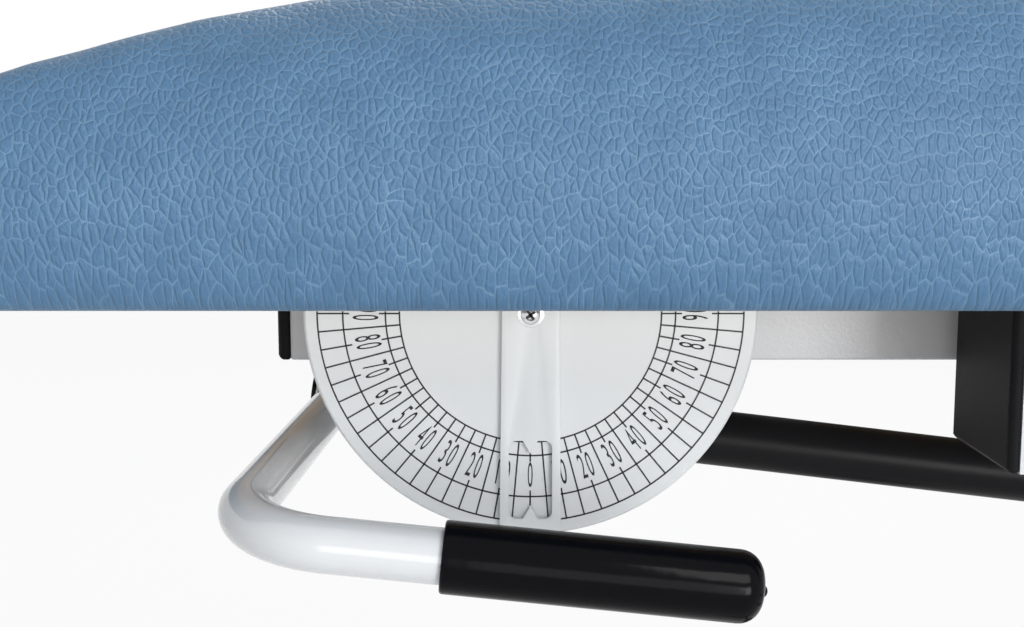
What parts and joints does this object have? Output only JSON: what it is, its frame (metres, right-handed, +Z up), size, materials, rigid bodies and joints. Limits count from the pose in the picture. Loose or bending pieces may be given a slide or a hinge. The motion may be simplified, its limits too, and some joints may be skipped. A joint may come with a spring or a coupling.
{
  "type": "physiotherapy tilt table",
  "caption": "Castored tilt table with thick blue padded top, raising backrest on a gas strut, side goniometer with plumb pointer, release lever and sliding footboard.",
  "frame": {"origin": "on the floor under the middle of the table, at the centre of its bounding box", "axes": "+X from the head end to the foot end, -Y the operator's side with the dial, +Z up"},
  "size_m": [2.052, 0.7, 1.02],
  "materials": {
    "backrest_beams": "white powder coat",
    "backrest_board": "plywood",
    "backrest_cross_tubes": "white powder coat",
    "backrest_hinge_pins": "turned steel",
    "backrest_hinge_plates": "white powder coat",
    "backrest_pad": "blue grained vinyl",
    "base_end_caps": "fine-grained black plastic",
    "base_rails": "white powder coat",
    "base_ties": "white powder coat",
    "beam_end_caps": "fine-grained black plastic",
    "button_down": "plain button",
    "button_up": "plain button",
    "castor_fork_foot_back": "grey-black nylon",
    "castor_fork_foot_front": "grey-black nylon",
    "castor_fork_head_back": "grey-black nylon",
    "castor_fork_head_front": "grey-black nylon",
    "castor_pedal_foot_back": "nylon",
    "castor_pedal_foot_front": "nylon",
    "castor_pedal_head_back": "nylon",
    "castor_pedal_head_front": "nylon",
    "castor_roller_foot_back": "grey rubber tyre",
    "castor_roller_foot_front": "grey rubber tyre",
    "castor_roller_head_back": "grey rubber tyre",
    "castor_roller_head_front": "grey rubber tyre",
    "clamp_knob_back": "fine-grained black plastic",
    "clamp_knob_front": "fine-grained black plastic",
    "control_box": "fine texture",
    "dial": "white engraved plastic",
    "dial_bracket": "white powder coat",
    "drive_brackets": "white powder coat",
    "footboard_frame": "white powder coat",
    "footboard_mat": "ribbed rubber",
    "footboard_panel": "white laminate",
    "leg_board": "plywood",
    "leg_pad": "blue grained vinyl",
    "lever_grip": "dip-moulded black sleeve",
    "main_cross_tubes": "white powder coat",
    "main_hinge_plates": "white powder coat",
    "main_rails": "white powder coat",
    "mains_inlet": "fine-grained black plastic",
    "pivot_bushes": "plain bronze",
    "pivot_pins": "turned steel",
    "pivot_posts": "white powder coat",
    "pointer": "white paint",
    "pointer_screw": "bright plated",
    "rail_end_caps": "fine-grained black plastic",
    "rail_fittings": "white powder coat",
    "ram_foot_mount": "white powder coat",
    "ram_motor_unit": "fine-grained black plastic",
    "ram_outer_tube": "black coat",
    "ram_piston": "ground rod",
    "release_lever": "gloss white powder coat",
    "rest_buffers": "moulded rubber",
    "slide_glides": "fine-grained black plastic",
    "strut_gland": "satin black",
    "strut_head": "satin black",
    "strut_piston": "ground rod",
    "strut_top_mount": "white powder coat",
    "strut_tube": "satin black"
  },
  "bodies": {
    "base": {"base_rails": "base_rails", "base_ties": "base_ties", "base_end_caps": "base_end_caps", "pivot_posts": "pivot_posts", "pivot_bushes": "pivot_bushes", "ram_foot_mount": "ram_foot_mount", "control_box": "control_box", "mains_inlet": "mains_inlet"},
    "main_frame": {"main_rails": "main_rails", "rail_end_caps": "rail_end_caps", "main_cross_tubes": "main_cross_tubes", "rail_fittings": "rail_fittings", "rest_buffers": "rest_buffers", "main_hinge_plates": "main_hinge_plates", "pivot_pins": "pivot_pins", "drive_brackets": "drive_brackets", "leg_board": "leg_board", "leg_pad": "leg_pad", "slide_glides": "slide_glides"},
    "backrest": {"backrest_pad": "backrest_pad", "backrest_board": "backrest_board", "backrest_beams": "backrest_beams", "beam_end_caps": "beam_end_caps", "backrest_cross_tubes": "backrest_cross_tubes", "backrest_hinge_plates": "backrest_hinge_plates", "backrest_hinge_pins": "backrest_hinge_pins", "dial": "dial", "dial_bracket": "dial_bracket", "pointer_screw": "pointer_screw", "strut_top_mount": "strut_top_mount"},
    "pendulum": {"pointer": "pointer"},
    "strut_body": {"strut_head": "strut_head", "strut_tube": "strut_tube", "strut_gland": "strut_gland"},
    "strut_rod": {"strut_piston": "strut_piston"},
    "lever": {"release_lever": "release_lever", "lever_grip": "lever_grip"},
    "ram_body": {"ram_motor_unit": "ram_motor_unit", "ram_outer_tube": "ram_outer_tube"},
    "ram_rod": {"ram_piston": "ram_piston"},
    "footboard": {"footboard_frame": "footboard_frame", "footboard_panel": "footboard_panel", "footboard_mat": "footboard_mat"},
    "knob_front": {"clamp_knob_front": "clamp_knob_front"},
    "knob_back": {"clamp_knob_back": "clamp_knob_back"},
    "button_up": {"button_up": "button_up"},
    "button_down": {"button_down": "button_down"},
    "castor_head_front": {"castor_fork_head_front": "castor_fork_head_front"},
    "roller_head_front": {"castor_roller_head_front": "castor_roller_head_front"},
    "pedal_head_front": {"castor_pedal_head_front": "castor_pedal_head_front"},
    "castor_head_back": {"castor_fork_head_back": "castor_fork_head_back"},
    "roller_head_back": {"castor_roller_head_back": "castor_roller_head_back"},
    "pedal_head_back": {"castor_pedal_head_back": "castor_pedal_head_back"},
    "castor_foot_front": {"castor_fork_foot_front": "castor_fork_foot_front"},
    "roller_foot_front": {"castor_roller_foot_front": "castor_roller_foot_front"},
    "pedal_foot_front": {"castor_pedal_foot_front": "castor_pedal_foot_front"},
    "castor_foot_back": {"castor_fork_foot_back": "castor_fork_foot_back"},
    "roller_foot_back": {"castor_roller_foot_back": "castor_roller_foot_back"},
    "pedal_foot_back": {"castor_pedal_foot_back": "castor_pedal_foot_back"}
  },
  "joints": [
    {"name": "table_tilt", "type": "hinge", "parent": "base", "child": "main_frame", "pos_m": [0.614, 0, 0.588], "axis": [0, 1, 0], "range_deg": [0, 80]},
    {"name": "backrest_lift", "type": "hinge", "parent": "main_frame", "child": "backrest", "pos_m": [-0.206, 0, 0.762], "axis": [0, 1, 0], "range_deg": [0, 70]},
    {"name": "pointer_swing", "type": "hinge", "parent": "backrest", "child": "pendulum", "pos_m": [-0.726, -0.252, 0.686], "axis": [0, 1, 0], "range_deg": [-88, 88]},
    {"name": "strut_swing", "type": "hinge", "parent": "backrest", "child": "strut_body", "pos_m": [-0.796, -0.1, 0.6198], "axis": [0, 1, 0], "range_deg": [-3, 1]},
    {"name": "strut_slide", "type": "slide", "parent": "strut_body", "child": "strut_rod", "axis": [0.993, 0, -0.1185], "range_m": [0, 0.282]},
    {"name": "lever_press", "type": "hinge", "parent": "strut_body", "child": "lever", "pos_m": [-0.82529, -0.1, 0.6233], "axis": [-0.993, 0, 0.1185], "range_deg": [0, 9], "stiffness_Nm_per_rad": 12, "springref_deg": -8.59},
    {"name": "ram_swing", "type": "hinge", "parent": "base", "child": "ram_body", "pos_m": [0.014, 0, 0.218], "axis": [0, 1, 0], "range_deg": [-7, 1]},
    {"name": "ram_slide", "type": "slide", "parent": "ram_body", "child": "ram_rod", "axis": [0.7363, 0, 0.6766], "range_m": [0, 0.2924]},
    {"name": "footboard_slide", "type": "slide", "parent": "main_frame", "child": "footboard", "axis": [1, 0, 0], "range_m": [0, 0.08]},
    {"name": "knob_turn_front", "type": "hinge", "parent": "main_frame", "child": "knob_front", "pos_m": [0.92, -0.245, 0.6], "axis": [0, 0, 1], "range_deg": [-180, 180]},
    {"name": "knob_turn_back", "type": "hinge", "parent": "main_frame", "child": "knob_back", "pos_m": [0.92, 0.245, 0.6], "axis": [0, 0, 1], "range_deg": [-180, 180]},
    {"name": "press_up", "type": "slide", "parent": "base", "child": "button_up", "axis": [0, 1, 0], "range_m": [0, 0.0009], "stiffness_N_per_m": 900, "springref_m": -0.001},
    {"name": "press_down", "type": "slide", "parent": "base", "child": "button_down", "axis": [0, 1, 0], "range_m": [0, 0.0009], "stiffness_N_per_m": 900, "springref_m": -0.001},
    {"name": "swivel_head_front", "type": "hinge", "parent": "base", "child": "castor_head_front", "pos_m": [-0.541, -0.315, 0.09], "axis": [0, 0, 1], "continuous": true},
    {"name": "roll_head_front", "type": "hinge", "parent": "castor_head_front", "child": "roller_head_front", "pos_m": [-0.515, -0.315, 0.04], "axis": [0, 1, 0], "continuous": true},
    {"name": "brake_head_front", "type": "hinge", "parent": "castor_head_front", "child": "pedal_head_front", "pos_m": [-0.509, -0.315, 0.077], "axis": [0, -1, 0], "range_deg": [0, 14]},
    {"name": "swivel_head_back", "type": "hinge", "parent": "base", "child": "castor_head_back", "pos_m": [-0.541, 0.315, 0.09], "axis": [0, 0, 1], "continuous": true},
    {"name": "roll_head_back", "type": "hinge", "parent": "castor_head_back", "child": "roller_head_back", "pos_m": [-0.515, 0.315, 0.04], "axis": [0, 1, 0], "continuous": true},
    {"name": "brake_head_back", "type": "hinge", "parent": "castor_head_back", "child": "pedal_head_back", "pos_m": [-0.509, 0.315, 0.077], "axis": [0, -1, 0], "range_deg": [0, 14]},
    {"name": "swivel_foot_front", "type": "hinge", "parent": "base", "child": "castor_foot_front", "pos_m": [0.889, -0.315, 0.09], "axis": [0, 0, 1], "continuous": true},
    {"name": "roll_foot_front", "type": "hinge", "parent": "castor_foot_front", "child": "roller_foot_front", "pos_m": [0.915, -0.315, 0.04], "axis": [0, 1, 0], "continuous": true},
    {"name": "brake_foot_front", "type": "hinge", "parent": "castor_foot_front", "child": "pedal_foot_front", "pos_m": [0.921, -0.315, 0.077], "axis": [0, -1, 0], "range_deg": [0, 14]},
    {"name": "swivel_foot_back", "type": "hinge", "parent": "base", "child": "castor_foot_back", "pos_m": [0.889, 0.315, 0.09], "axis": [0, 0, 1], "continuous": true},
    {"name": "roll_foot_back", "type": "hinge", "parent": "castor_foot_back", "child": "roller_foot_back", "pos_m": [0.915, 0.315, 0.04], "axis": [0, 1, 0], "continuous": true},
    {"name": "brake_foot_back", "type": "hinge", "parent": "castor_foot_back", "child": "pedal_foot_back", "pos_m": [0.921, 0.315, 0.077], "axis": [0, -1, 0], "range_deg": [0, 14]}
  ],
  "couplings": [
    {"joint": "strut_swing", "follows": "backrest_lift", "ratio": -0.02329},
    {"joint": "strut_slide", "follows": "backrest_lift", "m_per_rad": 0.2304},
    {"joint": "ram_swing", "follows": "table_tilt", "ratio": -0.069009},
    {"joint": "ram_slide", "follows": "table_tilt", "m_per_rad": 0.20907}
  ]
}
